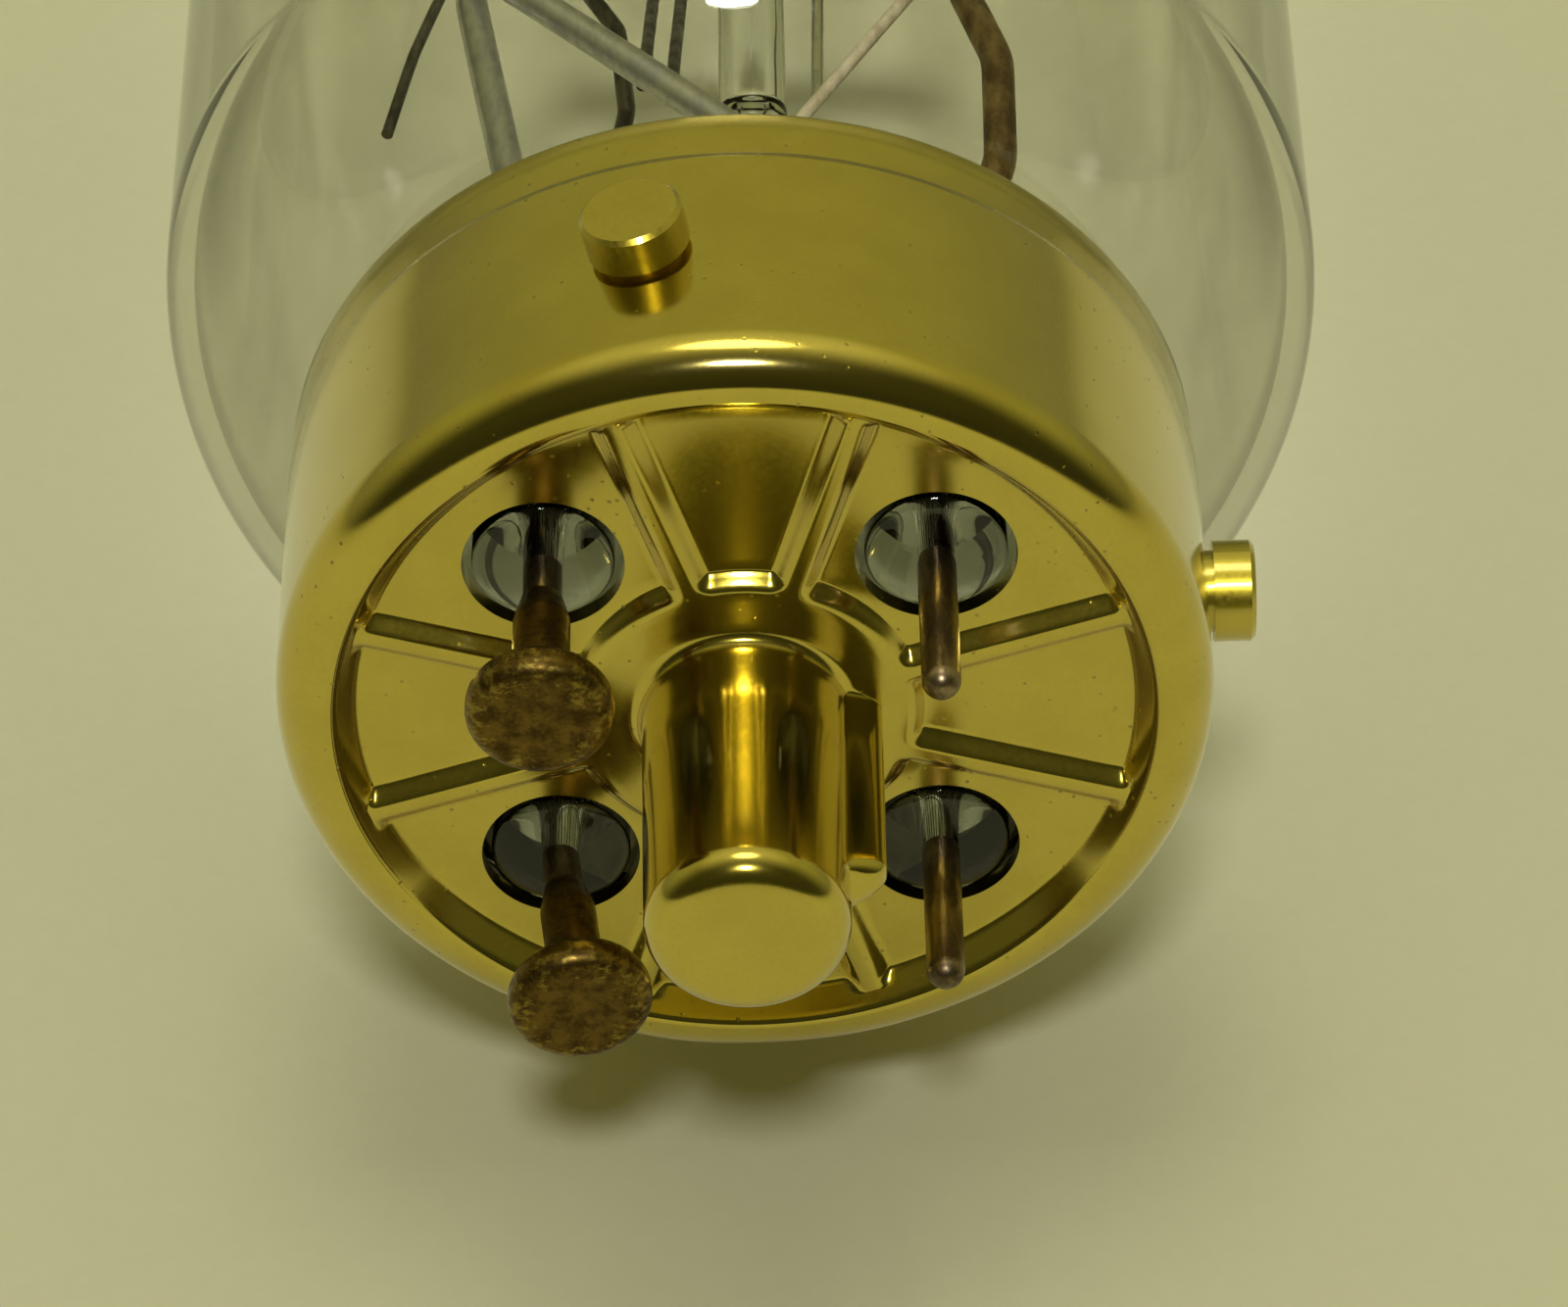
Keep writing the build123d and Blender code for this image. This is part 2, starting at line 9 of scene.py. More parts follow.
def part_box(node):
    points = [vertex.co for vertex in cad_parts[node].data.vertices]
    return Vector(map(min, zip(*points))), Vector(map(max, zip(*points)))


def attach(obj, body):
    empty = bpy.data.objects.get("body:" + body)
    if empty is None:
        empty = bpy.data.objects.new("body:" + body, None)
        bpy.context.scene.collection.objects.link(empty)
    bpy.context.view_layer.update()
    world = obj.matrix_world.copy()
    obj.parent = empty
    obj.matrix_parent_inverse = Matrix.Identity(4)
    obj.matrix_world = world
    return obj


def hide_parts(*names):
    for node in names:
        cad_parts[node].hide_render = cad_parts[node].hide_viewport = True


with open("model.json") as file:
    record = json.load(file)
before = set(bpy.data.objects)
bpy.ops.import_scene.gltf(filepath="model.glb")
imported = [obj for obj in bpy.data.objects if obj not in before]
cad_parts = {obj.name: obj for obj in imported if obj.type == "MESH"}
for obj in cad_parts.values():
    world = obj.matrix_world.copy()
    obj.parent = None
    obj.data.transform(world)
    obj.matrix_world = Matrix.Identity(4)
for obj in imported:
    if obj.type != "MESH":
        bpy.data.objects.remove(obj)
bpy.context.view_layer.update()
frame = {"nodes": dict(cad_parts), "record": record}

# Sizes below are in millimetres unless a comment says otherwise; MM turns them into metres.
MM = 0.001

# ---------------------------------------------------------------- camera
TARGET = Vector((1.26, -5.0, 2.24)) * MM
DISTANCE = 223.15 * MM
AZIMUTH = 0.67
ELEVATION = 41.27
ROLL = -1.96
LENS = 165.91
SENSOR_WIDTH = 36
CLIP = (0.01, 10)  # metres


def add_camera():
    """Long-lens camera at the photograph's angle, rolled a little about its line of sight."""
    data = bpy.data.cameras.new("camera")
    data.sensor_width = SENSOR_WIDTH
    data.lens = LENS
    data.clip_start, data.clip_end = CLIP
    camera = bpy.data.objects.new("camera", data)
    bpy.context.scene.collection.objects.link(camera)
    a, e = math.radians(AZIMUTH), math.radians(ELEVATION)
    back = Vector((math.sin(a) * math.cos(e), -math.cos(a) * math.cos(e), math.sin(e)))
    roll = Matrix.Rotation(math.radians(ROLL), 3, "Z")
    turn = (-back).to_track_quat("-Z", "Y").to_matrix() @ roll
    camera.matrix_world = Matrix.Translation(TARGET + back * DISTANCE) @ turn.to_4x4()
    bpy.context.scene.camera = camera


# ---------------------------------------------------------------- light
# each light's distance in metres, degrees from overhead towards -Y, size in metres, watts, colour
LIGHTS = {
    "key": (0.9, 36, (0.13, 0.11), 2.65, (1.0, 0.99, 0.97)),
    "overhead": (1.0, -6, (0.40, 0.34), 1.2, (1.0, 0.98, 0.80)),
}
# the room's glow by the sine of the elevation, behind the lamp (+Y), where it is brighter
ROOM_GLOW = (
    (0.0, (0.22, 0.215, 0.11)),
    (0.40, (0.33, 0.325, 0.13)),
    (0.68, (0.38, 0.37, 0.15)),
    (0.85, (0.62, 0.60, 0.33)),
    (1.0, (0.7, 0.68, 0.44)),
)
# in front of the lamp only this share of the glow is left, and it changes smoothly between
# these two values of the direction's y
FRONT_SHARE = 0.15
FRONT_Y, BACK_Y = -0.5, 0.3


def add_light(name, distance, zenith, size, power, colour):
    """A soft oval light in the plane x = 0 that points at the origin."""
    data = bpy.data.lights.new(name, "AREA")
    data.shape = "ELLIPSE"
    data.size, data.size_y = size
    data.energy = power
    data.color = colour
    light = bpy.data.objects.new(name, data)
    bpy.context.scene.collection.objects.link(light)
    z = math.radians(zenith)
    place = Vector((0, -distance * math.sin(z), distance * math.cos(z)))
    light.location = place
    light.rotation_euler = place.to_track_quat("Z", "Y").to_euler()


def add_room():
    """The glow of a room from every side, brighter overhead and behind the lamp."""
    world = bpy.data.worlds.new("world")
    bpy.context.scene.world = world
    world.use_nodes = True
    nodes, links = world.node_tree.nodes, world.node_tree.links
    parts = nodes.new("ShaderNodeSeparateXYZ")
    links.new(nodes.new("ShaderNodeTexCoord").outputs["Generated"], parts.inputs[0])
    ramp = nodes.new("ShaderNodeValToRGB")
    links.new(parts.outputs["Z"], ramp.inputs[0])
    stops = ramp.color_ramp.elements
    while len(stops) < len(ROOM_GLOW):
        stops.new(0.5)
    for stop, (place, colour) in zip(stops, ROOM_GLOW):
        stop.position = place
        stop.color = (*colour, 1)
    share = nodes.new("ShaderNodeMapRange")
    share.interpolation_type = "SMOOTHSTEP"
    links.new(parts.outputs["Y"], share.inputs["Value"])
    limits = {"From Min": FRONT_Y, "From Max": BACK_Y, "To Min": FRONT_SHARE, "To Max": 1.0}
    for key, value in limits.items():
        share.inputs[key].default_value = value
    links.new(ramp.outputs["Color"], nodes["Background"].inputs["Color"])
    links.new(share.outputs[0], nodes["Background"].inputs["Strength"])


# ---------------------------------------------------------------- node helpers
class Nodes:
    """Short calls for building a material's nodes. Most return the socket to use next."""

    def __init__(self, name):
        self.material = bpy.data.materials.new(name)
        self.material.use_nodes = True
        self.tree = self.material.node_tree
        self.shader = self.tree.nodes["Principled BSDF"]
        self.here = self.tree.nodes.new("ShaderNodeTexCoord").outputs["Object"]

    def link(self, source, target):
        """Links a socket, or sets the target where the source is a plain value."""
        if isinstance(source, (int, float, tuple)):
            target.default_value = source
        else:
            self.tree.links.new(source, target)

    def set(self, **values):
        """Sets or links the shader's own sockets, by name with _ for a space."""
        for key, value in values.items():
            self.link(value, self.shader.inputs[key.replace("_", " ")])

    def math(self, operation, *values):
        node = self.tree.nodes.new("ShaderNodeMath")
        node.operation = operation
        for value, socket in zip(values, node.inputs):
            self.link(value, socket)
        return node.outputs[0]

    def add(self, first, second):
        return self.math("ADD", first, second)

    def times(self, first, second):
        return self.math("MULTIPLY", first, second)

    def less(self, first, second):
        return self.math("SUBTRACT", first, second)

    def length(self, a, b):
        return self.math("SQRT", self.add(self.times(a, a), self.times(b, b)))

    def xyz(self):
        """The point's coordinates in metres."""
        node = self.tree.nodes.new("ShaderNodeSeparateXYZ")
        self.link(self.here, node.inputs[0])
        return node.outputs

    def scaled(self, factors, source=None):
        """The object's coordinates, or source, in millimetres times factors."""
        node = self.tree.nodes.new("ShaderNodeMapping")
        self.link(source or self.here, node.inputs["Vector"])
        node.inputs["Scale"].default_value = [f / MM for f in factors]
        return node.outputs[0]

    def noise(self, factors, detail, rough=0.55, source=None):
        node = self.tree.nodes.new("ShaderNodeTexNoise")
        self.link(self.scaled(factors, source), node.inputs["Vector"])
        node.inputs["Scale"].default_value = 1.0
        node.inputs["Detail"].default_value = detail
        node.inputs["Roughness"].default_value = rough
        return node.outputs[0]

    def spots(self, factors):
        """The distance to the nearest of many scattered points."""
        node = self.tree.nodes.new("ShaderNodeTexVoronoi")
        self.link(self.scaled(factors), node.inputs["Vector"])
        node.inputs["Scale"].default_value = 1.0
        return node.outputs["Distance"]

    def remap(self, value, low, high, to_low=0.0, to_high=1.0):
        """A smooth step from to_low at low to to_high at high."""
        node = self.tree.nodes.new("ShaderNodeMapRange")
        node.interpolation_type = "SMOOTHSTEP"
        for given, socket in zip((value, low, high, to_low, to_high), node.inputs):
            self.link(given, socket)
        return node.outputs[0]

    def mix(self, factor, first, second):
        node = self.tree.nodes.new("ShaderNodeMix")
        node.data_type = "RGBA"
        self.link(factor, node.inputs["Factor"])
        colours = [s for s in node.inputs if s.type == "RGBA"]
        for value, socket in zip((first, second), colours):
            self.link((*value, 1.0) if isinstance(value, tuple) else value, socket)
        return next(s for s in node.outputs if s.type == "RGBA")

    def bump(self, height, depth, strength):
        node = self.tree.nodes.new("ShaderNodeBump")
        node.inputs["Strength"].default_value = strength
        node.inputs["Distance"].default_value = depth * MM
        self.link(height, node.inputs["Height"])
        self.link(node.outputs[0], self.shader.inputs["Normal"])


# ---------------------------------------------------------------- floor
FLOOR_HALF = 3.0  # metres
FLOOR_COLOURS = ((0.70, 0.69, 0.47), (0.74, 0.73, 0.51))


def new_object(name, data):
    piece = bpy.data.objects.new(name, data)
    bpy.context.scene.collection.objects.link(piece)
    return piece


def floor_material():
    n = Nodes("floor_cloth")
    weave = n.noise((1.6, 1.6, 1.6), 3, 0.6)
    n.set(Base_Color=n.mix(weave, *FLOOR_COLOURS), Roughness=0.9)
    n.bump(weave, 0.05, 0.3)
    return n.material


def add_floor():
    """A plain floor that the bulb's side rests on."""
    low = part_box("bulb_envelope")[0][2]
    corners = [(-1, -1), (1, -1), (1, 1), (-1, 1)]
    verts = [(x * FLOOR_HALF, y * FLOOR_HALF, low) for x, y in corners]
    mesh = bpy.data.meshes.new("floor")
    mesh.from_pydata(verts, [], [(0, 1, 2, 3)])
    floor = new_object("floor", mesh)
    floor.data.materials.append(floor_material())


# ---------------------------------------------------------------- gold anodised aluminium
GOLD_DEEP, GOLD_PALE = (0.57, 0.445, 0.035), (0.64, 0.51, 0.055)
PIT_COLOUR = (0.20, 0.13, 0.02)
LACQUER = {"Metallic": 1.0, "Coat_Weight": 1.0, "Coat_Roughness": 0.12, "Coat_IOR": 1.65}
GOLD_BUMP = (0.012, 0.3)

# where each zone of the shell starts and is complete, by distance from the axis or by y
POST_INSIDE_R, POST_BELOW_Y = (5.2, 4.6), (-5.2, -5.8)
END_BELOW_Y = (-15.55, -15.68)
SKIRT_OUTSIDE_R = (14.2, 14.5)
PLATE_INSIDE_R = (12.9, 12.4)

# the shell's roughness, and what each zone adds to it
SHELL_ROUGH = 0.10
PLATE_ROUGH, POST_ROUGH, SKIRT_ROUGH, END_ROUGH = 0.09, 0.06, 0.06, 0.14
PIT_ROUGH = 0.2
STUD_ROUGH = (0.28, 0.38)


class Gold(Nodes):
    """The colour, clouds, fine flecks and turning lines that the shell and the studs share."""

    def __init__(self, name):
        super().__init__(name)
        x, self.y, z = self.xyz()
        self.radius = self.length(x, z)
        self.cloud = self.noise((0.35, 0.35, 0.35), 2)
        self.fleck = self.noise((6, 6, 6), 4, 0.7)
        tone = self.add(self.times(self.cloud, 0.6), self.times(self.fleck, 0.4))
        self.colour = self.mix(self.remap(tone, 0.35, 0.68), GOLD_DEEP, GOLD_PALE)
        turned = self.tree.nodes.new("ShaderNodeCombineXYZ")
        self.link(self.radius, turned.inputs[0])
        self.link(self.y, turned.inputs[1])
        self.lines = self.noise((5, 5, 5), 3, 0.6, source=turned.outputs[0])

    def zone(self, value, limits):
        """0 up to the first limit and 1 from the second."""
        return self.remap(value, limits[0] * MM, limits[1] * MM)

    def finish(self, colour, grain):
        self.set(Base_Color=colour, **LACQUER)
        self.bump(grain, *GOLD_BUMP)
        return self.material


def anodised_shell(name):
    """Satin gold: turned skirt, grained plate with small pits, and post with drawing streaks."""
    n = Gold(name)
    post = n.times(n.zone(n.radius, POST_INSIDE_R), n.zone(n.y, POST_BELOW_Y))
    off_post = n.less(1.0, post)
    end = n.zone(n.y, END_BELOW_Y)
    skirt = n.zone(n.radius, SKIRT_OUTSIDE_R)
    plate = n.times(n.zone(n.radius, PLATE_INSIDE_R), off_post)

    pits = n.remap(n.spots((1.9, 1.9, 1.9)), 0.15, 0.08)
    pits = n.times(n.times(pits, n.remap(n.cloud, 0.45, 0.62)), off_post)
    streaks = n.times(n.noise((2.6, 0.12, 2.6), 3, 0.6), post)

    rough = n.add(SHELL_ROUGH, n.times(plate, PLATE_ROUGH))
    for zone, more in ((post, POST_ROUGH), (skirt, SKIRT_ROUGH), (end, END_ROUGH)):
        rough = n.add(rough, n.times(zone, more))
    worn = n.add(0.75, n.times(n.fleck, 0.5))
    n.set(Roughness=n.add(n.times(rough, worn), n.times(pits, PIT_ROUGH)))

    turning = n.times(n.lines, n.add(0.12, n.times(skirt, 0.12)))
    flecks = n.times(n.fleck, n.add(0.08, n.times(plate, 0.25)))
    grain = n.add(n.add(turning, flecks), n.times(streaks, 0.5))
    grain = n.less(grain, n.times(pits, 2.0))
    return n.finish(n.mix(n.times(pits, 0.6), n.colour, PIT_COLOUR), grain)


def anodised_stud(name):
    n = Gold(name)
    n.set(Roughness=n.remap(n.fleck, 0.3, 0.7, *STUD_ROUGH))
    return n.finish(n.colour, n.add(n.times(n.lines, 0.3), n.times(n.fleck, 0.4)))


# ---------------------------------------------------------------- the other materials
TARNISH = ((0.06, 0.036, 0.008), (0.17, 0.105, 0.022))
BARE_BRASS = (0.36, 0.26, 0.05)
FACE_R, RIM_R = 0.9, 1.9
UPPER_CAP_XZ, LOWER_CAP_XZ = (-6.01, 6.01), (-5.35, -6.01)

# painted shade: the dark colour that the glass turns where it is seen edge on
GLASS_EDGE_PAINTED_SHADE = (0.12, 0.13, 0.10)
EDGE_FROM, EDGE_TO = 0.70, 0.90
DUSTY_SHARE = 0.93

# each glass's tint, roughness, and the depth of its waves
GLASSES = {
    # the bulb's grey tint is partly the old glass's own grey and partly painted shade for the
    # shadow the bulb no longer casts
    "bulb_glass": ((0.80, 0.80, 0.74), 0.0, 0.006),
    # painted shade: the stem glass's dark tint stands in for the dim inside of the lamp seen
    # through it
    "stem_glass": ((0.40, 0.42, 0.37), 0.02, 0.08),
    "arbor_glass": ((0.96, 0.975, 0.98), 0.0, 0.05),
}
# each metal's lighter and darker colour, roughness, and how often its clouds repeat per mm
METALS = {
    "dark_pin": ((0.36, 0.27, 0.15), (0.11, 0.08, 0.045), 0.34, (1.5, 0.5, 1.5)),
    "silver_rod": ((0.72, 0.72, 0.70), (0.52, 0.52, 0.50), 0.36, (2.0, 0.8, 2.0)),
    "brown_rod": ((0.42, 0.29, 0.12), (0.16, 0.10, 0.04), 0.45, (1.2, 0.5, 1.2)),
    "dark_wire": ((0.16, 0.14, 0.12), (0.05, 0.045, 0.04), 0.35, (2, 0.6, 2)),
    "bright_wire": ((0.85, 0.86, 0.88), (0.5, 0.5, 0.52), 0.2, (2, 0.5, 2)),
    "tungsten": ((0.34, 0.33, 0.33), (0.16, 0.16, 0.16), 0.4, (3, 3, 3)),
}
# the same for what isn't bare metal, and the depth of its surface
MATTS = {
    "cement": ((0.62, 0.53, 0.36), (0.42, 0.34, 0.2), 0.9, (1.5, 1.5, 1.5), 0.08),
    "coated_wire": ((0.66, 0.58, 0.40), (0.45, 0.38, 0.24), 0.7, (2, 1, 2), 0.02),
}


def worn_brass(name, centre):
    """Tarnished brass of a contact: dark mottled face with brighter scuffs towards its rim."""
    n = Nodes(name)
    x, _, z = n.xyz()
    radius = n.length(n.less(x, centre[0] * MM), n.less(z, centre[1] * MM))
    cloud = n.noise((1.5, 1.5, 1.5), 5, 0.7)
    scuff = n.noise((2.2, 1.6, 3.4), 5, 0.72)
    tarnish = n.mix(n.remap(cloud, 0.35, 0.65), *TARNISH)
    outward = n.times(n.remap(radius, FACE_R * MM, RIM_R * MM), 0.14)
    bare = n.times(n.remap(n.add(scuff, outward), 0.62, 0.76), 0.7)
    n.set(Base_Color=n.mix(bare, tarnish, BARE_BRASS), Metallic=1.0)
    n.set(Roughness=n.remap(cloud, 0.3, 0.7, 0.46, 0.30))
    n.bump(n.add(scuff, n.times(cloud, 0.6)), 0.03, 0.4)
    return n.material


def glass(name, tint, rough, wave_depth):
    """Glass with faint dust, and with painted shade that darkens it where it is seen edge on."""
    n = Nodes(name)
    grazing = n.tree.nodes.new("ShaderNodeLayerWeight").outputs["Facing"]
    dust = n.remap(n.noise((0.25, 0.25, 0.25), 5, 0.65), 0.35, 0.75)
    body = n.mix(dust, tint, tuple(DUSTY_SHARE * c for c in tint))
    # painted shade: the colour darkens towards the parts of the surface seen edge on
    n.set(Base_Color=n.mix(n.remap(grazing, EDGE_FROM, EDGE_TO), body, GLASS_EDGE_PAINTED_SHADE))
    n.set(Roughness=rough, IOR=1.5, Transmission_Weight=1.0)
    n.bump(n.noise((0.12, 0.12, 0.12), 2), wave_depth, 0.5)
    return n.material


def metal(name, light, dark, rough, spread):
    """Bare metal with clouds of a darker, rougher film."""
    n = Nodes(name)
    cloud = n.noise(spread, 4, 0.65)
    n.set(Base_Color=n.mix(n.remap(cloud, 0.35, 0.65), dark, light), Metallic=1.0)
    n.set(Roughness=n.remap(cloud, 0.3, 0.7, rough * 1.25, rough * 0.8))
    n.bump(n.noise([5 * s for s in spread], 4, 0.6), 0.01, 0.5)
    return n.material


def matt(name, light, dark, rough, spread, depth):
    """A dull mineral surface with clouds of two colours."""
    n = Nodes(name)
    cloud = n.noise(spread, 5, 0.65)
    n.set(Base_Color=n.mix(n.remap(cloud, 0.35, 0.65), dark, light), Roughness=rough)
    n.bump(n.noise([3 * s for s in spread], 5, 0.6), depth, 0.6)
    return n.material


def make_materials():
    """Each of the record's material slots with its procedural material."""
    made = {
        "anodised_shell": anodised_shell("anodised_shell"),
        "anodised_stud": anodised_stud("anodised_stud"),
        "aged_brass": worn_brass("aged_brass", UPPER_CAP_XZ),
    }
    for build, table in ((glass, GLASSES), (metal, METALS), (matt, MATTS)):
        for slot, values in table.items():
            made[slot] = build(slot, *values)
    return made


def paint_frame():
    """Gives each CAD node its slot's material; the lower contact has scuffs about its own axis."""
    lower = worn_brass("aged_brass_lower", LOWER_CAP_XZ)
    for part in frame["record"]["subparts"]:
        own = lower if part["node"] == "contact_cap_lower" else materials[part["material_slot"]]
        for place in frame["nodes"][part["node"]].material_slots:
            place.material = own


# ---------------------------------------------------------------- mesh helpers
def lathe(name, rows, angles, move=None, moved=()):
    """A closed mesh of a section turned round the Y axis, with both its ends on the axis.

    Where a row's number is in moved, move changes each of its points first.
    """
    verts, faces = [(0, rows[0][1] * MM, 0)], []
    for i, row in enumerate(rows[1:-1], start=1):
        for angle in angles:
            r, y = move(*row, angle) if i in moved else row
            verts.append((r * MM * math.cos(angle), y * MM, r * MM * math.sin(angle)))
    verts.append((0, rows[-1][1] * MM, 0))
    count, last = len(angles), len(verts) - 1
    for k in range(count):
        after = (k + 1) % count
        faces.append((0, 1 + k, 1 + after))
        for row in range(len(rows) - 3):
            a, b = 1 + row * count, 1 + (row + 1) * count
            faces.append((a + k, b + k, b + after, a + after))
        a = 1 + (len(rows) - 3) * count
        faces.append((last, a + after, a + k))
    mesh = bpy.data.meshes.new(name)
    mesh.from_pydata(verts, [], faces)
    bm = bmesh.new()
    bm.from_mesh(mesh)
    bmesh.ops.recalc_face_normals(bm, faces=bm.faces)
    bm.to_mesh(mesh)
    bm.free()
    return new_object(name, mesh)


def cylinder(start, along, radius, sides=96):
    """A closed round cutter from start, in the direction and length of along."""
    bm = bmesh.new()
    along = Vector(along) * MM
    bmesh.ops.create_cone(
        bm,
        cap_ends=True,
        segments=sides,
        radius1=radius * MM,
        radius2=radius * MM,
        depth=along.length,
    )
    turn = along.to_track_quat("Z", "Y").to_matrix().to_4x4()
    place = Matrix.Translation(Vector(start) * MM + along / 2)
    bmesh.ops.transform(bm, matrix=place @ turn, verts=bm.verts)
    mesh = bpy.data.meshes.new("cutter")
    bm.to_mesh(mesh)
    bm.free()
    return new_object("cutter", mesh)


def evaluated_mesh(piece):
    """A piece's mesh after its modifiers, or a curve's tube as a mesh."""
    bpy.context.view_layer.update()
    seen = piece.evaluated_get(bpy.context.evaluated_depsgraph_get())
    return bpy.data.meshes.new_from_object(seen)


def dress(mesh, slot, sharp=None):
    """Smooth shading, except at edges over sharp degrees, and the slot's material."""
    for face in mesh.polygons:
        face.use_smooth = True
    if sharp is not None:
        mesh.set_sharp_from_angle(angle=math.radians(sharp))
    mesh.materials.clear()
    mesh.materials.append(materials[slot])


# ---------------------------------------------------------------- the pressed shell
POST_END_Y, POST_TIP_R, POST_R = -15.71, 3.14, 3.22
BOSS_Y, BOSS_R = -5.41, 5.2
PLATE_Y, PLATE_R = -4.91, 12.13
BEAD_Y, BEAD_INNER_R = -5.9, 12.8
SKIRT_R, SKIRT_INNER_R, SKIRT_LIP_R, SKIRT_END_Y = 14.6, 14.0, 14.52, 6.5
PRESSED_WITHIN_R = 13

RIB_ANGLES = [c + s for c in (0, 90, 180, 270) for s in (-17.5, 17.5)]
KEY_R, KEY_END_Y, KEY_NOSE = 4.25, -13.3, 0.75
# half the width of a ridge's flat crest, and of its foot
RIB_CREST, RIB_FOOT = 0.16, 0.80
KEY_CREST, KEY_FOOT = 0.12, 1.12
# a ridge changes only points whose angle from it has a cosine over this
SAME_SIDE = 0.8

PIN_AT, HOLE_R = 6.0104, 2.5
HOLE_FROM_Y, HOLE_DEPTH = -4.0, 1.6
STUD_ANGLES, STUD_SHANK_R = (0.0, 100.8, -100.8), 1.1
STUD_FROM_R, STUD_DEPTH = 13, 3

# (radius, y), rounding, and the longest step to the next corner, from the post's end on the axis
# along the outer skin, round the skirt's free edge and back inside to the axis
SHELL_SECTION = (
    ((0, POST_END_Y), 0, 1.0),
    ((POST_TIP_R, POST_END_Y), 1.05, 0.12),
    ((POST_R, BOSS_Y), 0.45, 0.3),
    ((BOSS_R, BOSS_Y), 0.45, 0.2),
    ((5.6, PLATE_Y), 0.12, 0.4),
    ((PLATE_R, PLATE_Y), 0.25, 0.1),
    ((BEAD_INNER_R, BEAD_Y), 0.38, 0.3),
    ((SKIRT_R, BEAD_Y), 1.6, 2.0),
    ((SKIRT_R, 4.15), 0.1, 0.1),
    ((SKIRT_LIP_R, 4.45), 0.1, 1.0),
    ((SKIRT_LIP_R, SKIRT_END_Y), 0.18, 0.3),
    ((SKIRT_INNER_R, SKIRT_END_Y), 0.1, 3.0),
    ((SKIRT_INNER_R, -5.3), 0.6, 1.0),
    ((13.2, -5.3), 0.08, 0.5),
    ((12.4, -4.31), 0.3, 2.0),
    ((5.5, -4.31), 0.2, 1.0),
    ((4.95, -4.81), 0.15, 1.0),
    ((2.58, -4.81), 0.3, 2.0),
    ((2.54, -15.11), 0.4, 1.0),
    ((0, -15.11), 0, 1.0),
)
ARC_STEP = 0.12
SHELL_SHARP = 38

# degrees from one copy of the section to the next, near a ridge and elsewhere
FINE_STEP, COARSE_STEP = 0.5, 1.5
NEAR_RIB, NEAR_KEY = 9, 27


def smooth_step(value, low, high):
    t = min(max((value - low) / (high - low), 0.0), 1.0)
    return t * t * (3 - 2 * t)


def rounded(section):
    """Points along a section whose corners are rounded and whose long runs are divided."""
    points = []
    for i, (corner, radius, _) in enumerate(section):
        corner = Vector(corner)
        run = [corner]
        if radius:
            before = (Vector(section[i - 1][0]) - corner).normalized()
            after = (Vector(section[i + 1][0]) - corner).normalized()
            half = before.angle(after) / 2
            centre = corner + (before + after).normalized() * radius / math.sin(half)
            start = corner + before * radius / math.tan(half) - centre
            finish = corner + after * radius / math.tan(half) - centre
            turn = math.pi - 2 * half
            count = max(2, math.ceil(turn * radius / ARC_STEP))
            run = [
                centre
                + start * (math.sin((1 - k / count) * turn) / math.sin(turn))
                + finish * (math.sin(k / count * turn) / math.sin(turn))
                for k in range(count + 1)
            ]
        if points:
            last = points[-1]
            pieces = max(1, math.ceil((run[0] - last).length / section[i - 1][2]))
            points += [last.lerp(run[0], k / pieces) for k in range(1, pieces)]
        points += run
    return points


def shell_angles():
    """Angles round the axis in radians, closer together over the ribs and the key."""
    angles, a = [], -180.0
    while a < 180 - 1e-6:
        angles.append(math.radians(a))
        from_rib = min(abs((a - r + 180) % 360 - 180) for r in RIB_ANGLES)
        a += FINE_STEP if from_rib < NEAR_RIB or abs(a) < NEAR_KEY else COARSE_STEP
    return angles


def pressed(r, y, angle):
    """Where a point of the outer skin is once the plate's ribs and the post's key are pressed."""
    if y > BOSS_Y:
        for rib in RIB_ANGLES:
            off = angle - math.radians(rib)
            if math.cos(off) > SAME_SIDE:
                rise = 1 - smooth_step(abs(r * math.sin(off)), RIB_CREST, RIB_FOOT)
                y += (BOSS_Y - y) * rise
    elif r < KEY_R and math.cos(angle) > SAME_SIDE:
        rise = 1 - smooth_step(abs(r * math.sin(angle)), KEY_CREST, KEY_FOOT)
        into_nose = (KEY_END_Y + KEY_NOSE - y) / KEY_NOSE
        if into_nose < 1:
            rise *= math.sqrt(1 - max(into_nose, 0) ** 2)
            r += (KEY_R - r) * rise
    return r, y


def shell_cutters():
    """The four pin holes in the plate and the three stud holes in the skirt."""
    sides = (-PIN_AT, PIN_AT)
    cutters = [
        cylinder((x, HOLE_FROM_Y, z), (0, -HOLE_DEPTH, 0), HOLE_R) for x in sides for z in sides
    ]
    for angle in STUD_ANGLES:
        out = Vector((math.cos(math.radians(angle)), 0, math.sin(math.radians(angle))))
        cutters.append(cylinder(out * STUD_FROM_R, out * STUD_DEPTH, STUD_SHANK_R))
    return cutters


def make_pressed_shell():
    """The base shell with soft-edged ribs and key, in the CAD solid's outline."""
    rows = rounded(SHELL_SECTION)
    free_edge = next(i for i, p in enumerate(rows) if p.y > SKIRT_END_Y - 0.1)
    skin = {i for i, p in enumerate(rows[:free_edge]) if p.x < PRESSED_WITHIN_R}
    shell = lathe("pressed_shell", rows, shell_angles(), pressed, skin)
    cutters = shell_cutters()
    for cutter in cutters:
        cut = shell.modifiers.new("cut", "BOOLEAN")
        cut.operation = "DIFFERENCE"
        cut.solver = "EXACT"
        cut.object = cutter
    holed = evaluated_mesh(shell)
    shell.modifiers.clear()
    shell.data = holed
    for cutter in cutters:
        bpy.data.objects.remove(cutter)
    dress(holed, "anodised_shell", SHELL_SHARP)
    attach(shell, "root")
    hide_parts("base_shell")


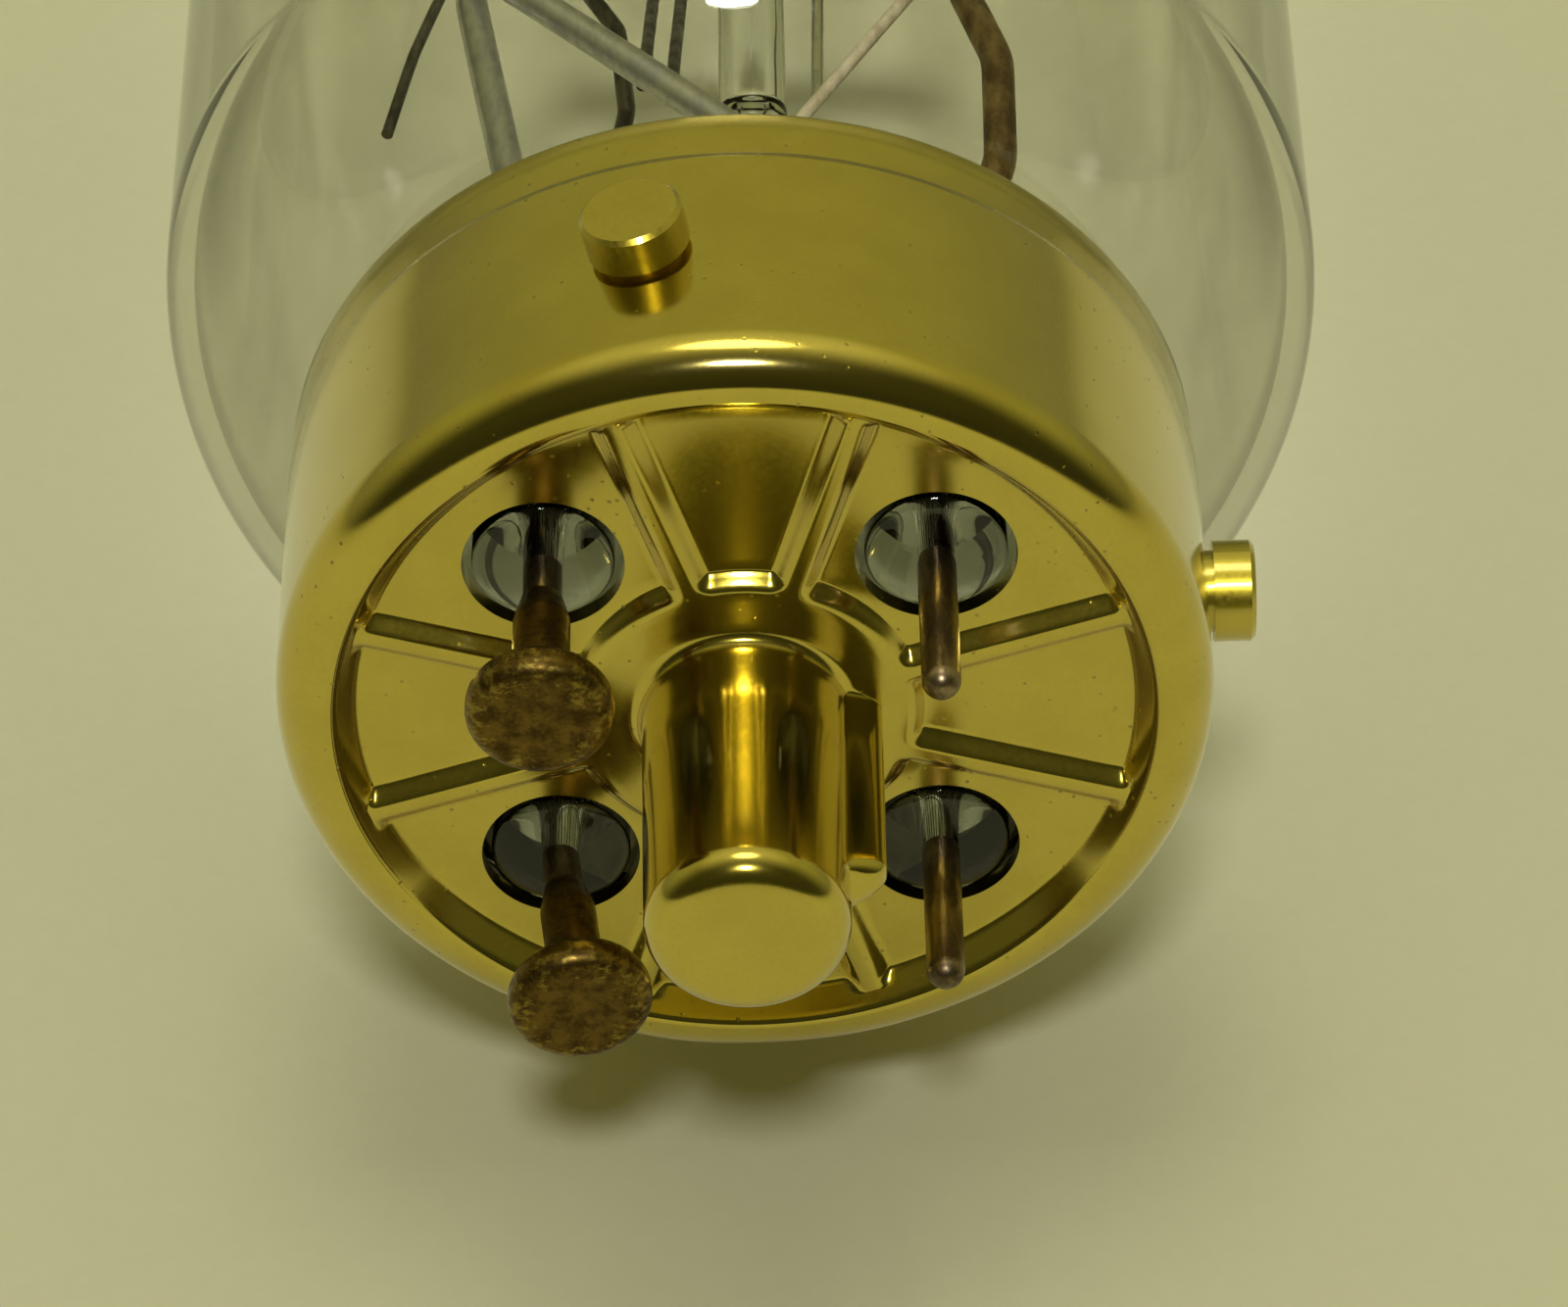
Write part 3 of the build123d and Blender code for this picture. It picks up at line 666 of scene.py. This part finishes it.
# ---------------------------------------------------------------- the blown bulb
BULB_R, BULB_TOP_Y, WALL = 19.05, 73.2, 0.9
DOME_Y, DOME_CORNER_R = 61.2, 9.0
BOWL_Y, BOWL_R, BOWL_RISE = 15.85, 11.6, 8.3
NECK_R, NECK_ROUND, NECK_FOOT_Y = 11.0, 0.6, -1.2
CAP_STEPS, CORNER_STEPS, SIDE_STEPS, BOWL_STEPS, FILLET_STEPS = 24, 20, 12, 32, 8
BULB_SIDES = 256
BULB_SHARP = 60


def arc(centre, radii, start, finish, count):
    """Points on a circle or ellipse between two angles in degrees."""
    turns = [math.radians(start + (finish - start) * k / count) for k in range(count + 1)]
    return [(centre[0] + radii[0] * math.cos(t), centre[1] + radii[1] * math.sin(t)) for t in turns]


def bulb_section(inset):
    """The bulb's section from its top to the foot of its neck, inset from the outer skin."""
    corner_x = BULB_R - DOME_CORNER_R
    rise = BULB_TOP_Y - DOME_Y
    cap_r = (corner_x**2 + rise**2 - DOME_CORNER_R**2) / (2 * (rise - DOME_CORNER_R))
    lean = math.degrees(math.atan2(cap_r - rise, corner_x))
    side, corner = BULB_R - inset, DOME_CORNER_R - inset
    bowl_y, fillet = BOWL_Y - BOWL_RISE + inset, NECK_ROUND + inset
    points = arc((0, BULB_TOP_Y - cap_r), (cap_r - inset, cap_r - inset), 90, lean, CAP_STEPS)
    points += arc((corner_x, DOME_Y), (corner, corner), lean, 0, CORNER_STEPS)[1:]
    points += [(side, DOME_Y + (BOWL_Y - DOME_Y) * k / SIDE_STEPS) for k in range(1, SIDE_STEPS)]
    points += arc((BOWL_R, BOWL_Y), (side - BOWL_R, BOWL_RISE - inset), 0, -90, BOWL_STEPS)
    points += arc((BOWL_R, bowl_y - fillet), (fillet, fillet), 90, 180, FILLET_STEPS)[1:]
    return points + [(NECK_R - inset, NECK_FOOT_Y)]


def make_clear_bulb():
    """The bulb with a finer surface than the CAD mesh has, open at its neck."""
    angles = [2 * math.pi * k / BULB_SIDES for k in range(BULB_SIDES)]
    bulb = lathe("clear_bulb", bulb_section(0) + bulb_section(WALL)[::-1], angles)
    dress(bulb.data, "bulb_glass", BULB_SHARP)
    # the renderer gives clear glass a far darker shadow than a real bulb's, so the bulb casts none,
    # and the grey of its tint is partly painted shade in its place
    bulb.visible_shadow = False
    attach(bulb, "root")
    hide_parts("bulb_envelope")


# ---------------------------------------------------------------- the coiled filament
COIL_XS = (-3.6, -1.2, 1.2, 3.6)
COIL_FROM_Y, COIL_TO_Y = 39.2, 46.2
COIL_WIRE_R, COIL_MEAN_R, COIL_PITCH = 0.09, 0.45, 0.29
STEPS_PER_TURN = 18


def make_coiled_filament():
    """Four coils wound from thin wire."""
    length = COIL_TO_Y - COIL_FROM_Y
    turns = length / COIL_PITCH
    steps = int(turns * STEPS_PER_TURN)
    curve = bpy.data.curves.new("coiled_filament", "CURVE")
    curve.dimensions = "3D"
    curve.bevel_depth = COIL_WIRE_R * MM
    curve.bevel_resolution = 1
    curve.use_fill_caps = True
    for x in COIL_XS:
        spline = curve.splines.new("POLY")
        spline.points.add(steps)
        for k, point in enumerate(spline.points):
            angle = 2 * math.pi * turns * k / steps
            point.co = (
                (x + COIL_MEAN_R * math.cos(angle)) * MM,
                (COIL_FROM_Y + length * k / steps) * MM,
                COIL_MEAN_R * math.sin(angle) * MM,
                1,
            )
    wound = new_object("coiled_wound", curve)
    mesh = evaluated_mesh(wound)
    bpy.data.objects.remove(wound)
    piece = new_object("coiled_filament", mesh)
    dress(mesh, "tungsten")
    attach(piece, "root")
    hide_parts("filament_coils")


add_camera()
for light_name, light_values in LIGHTS.items():
    add_light(light_name, *light_values)
add_room()
add_floor()
materials = make_materials()
paint_frame()
make_pressed_shell()
make_clear_bulb()
make_coiled_filament()
bpy.context.scene.view_settings.view_transform = "Standard"
